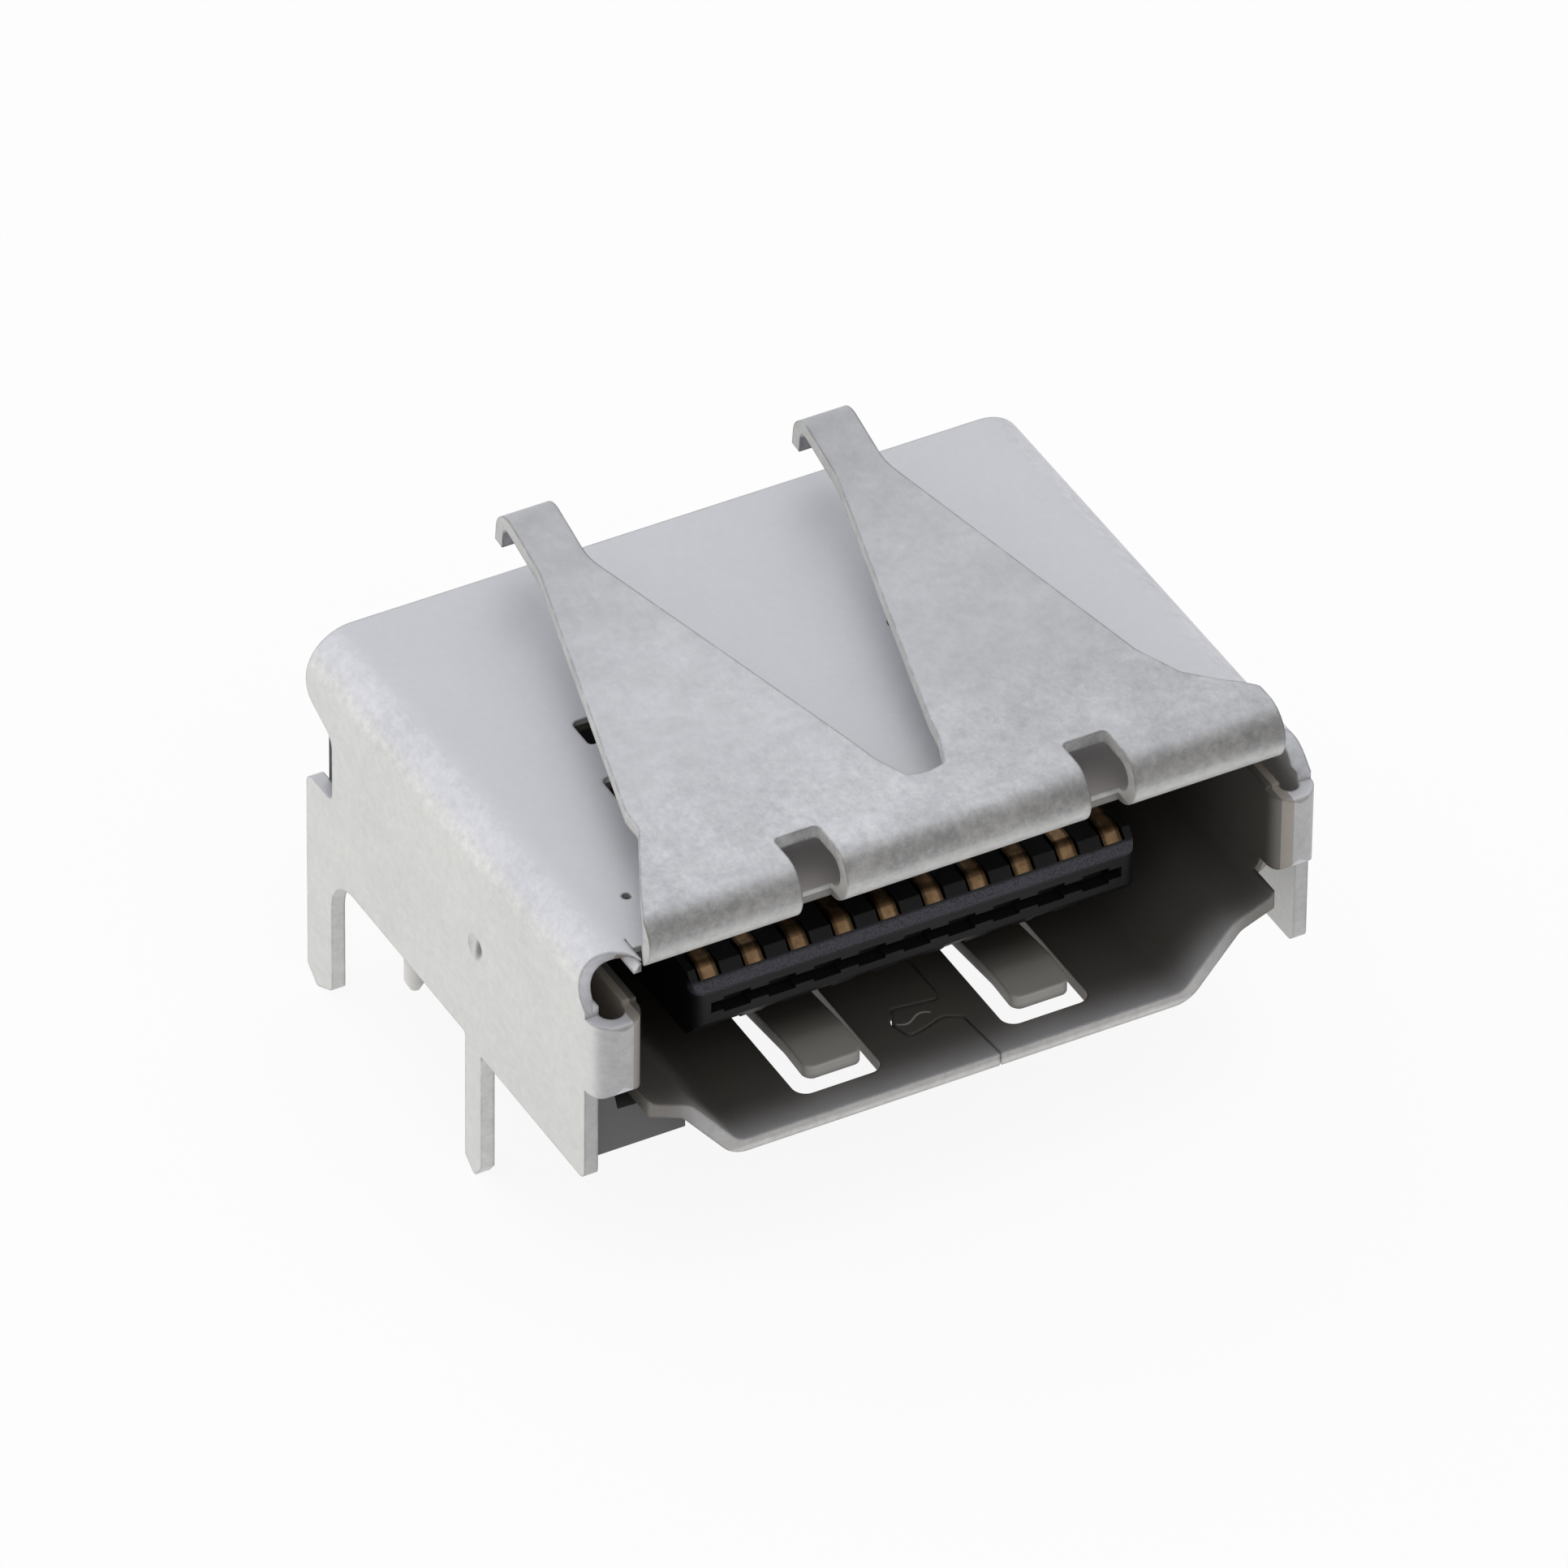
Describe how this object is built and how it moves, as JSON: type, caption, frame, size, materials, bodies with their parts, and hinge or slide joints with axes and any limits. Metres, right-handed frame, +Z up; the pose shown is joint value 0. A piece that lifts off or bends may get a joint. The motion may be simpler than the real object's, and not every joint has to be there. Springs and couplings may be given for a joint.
{
  "type": "board-mount hdmi socket",
  "caption": "Board-mount audio-video socket: folded metal shell with rolled roof edge, two spring fingers, four solder legs, black tongue and gold contacts.",
  "frame": {"origin": "On the board surface, under the housing, midway between the two locating posts.", "axes": "+X to the right when looking into the mouth, +Y from the mouth to the rear, +Z up from the board."},
  "size_m": [0.0161, 0.0129, 0.0102],
  "materials": {
    "shell_metal": "satin tin plate",
    "housing_plastic": "moulded, matt",
    "aligner_plastic": "moulded, matt",
    "contact_metal": "gold plated copper alloy"
  },
  "bodies": {
    "root": {"shell": "shell_metal", "housing": "housing_plastic", "tail_aligner": "aligner_plastic", "contact_top_01": "contact_metal", "contact_top_02": "contact_metal", "contact_top_03": "contact_metal", "contact_top_04": "contact_metal", "contact_top_05": "contact_metal", "contact_top_06": "contact_metal", "contact_top_07": "contact_metal", "contact_top_08": "contact_metal", "contact_top_09": "contact_metal", "contact_top_10": "contact_metal", "contact_bottom_01": "contact_metal", "contact_bottom_02": "contact_metal", "contact_bottom_03": "contact_metal", "contact_bottom_04": "contact_metal", "contact_bottom_05": "contact_metal", "contact_bottom_06": "contact_metal", "contact_bottom_07": "contact_metal", "contact_bottom_08": "contact_metal", "contact_bottom_09": "contact_metal"}
  },
  "joints": []
}
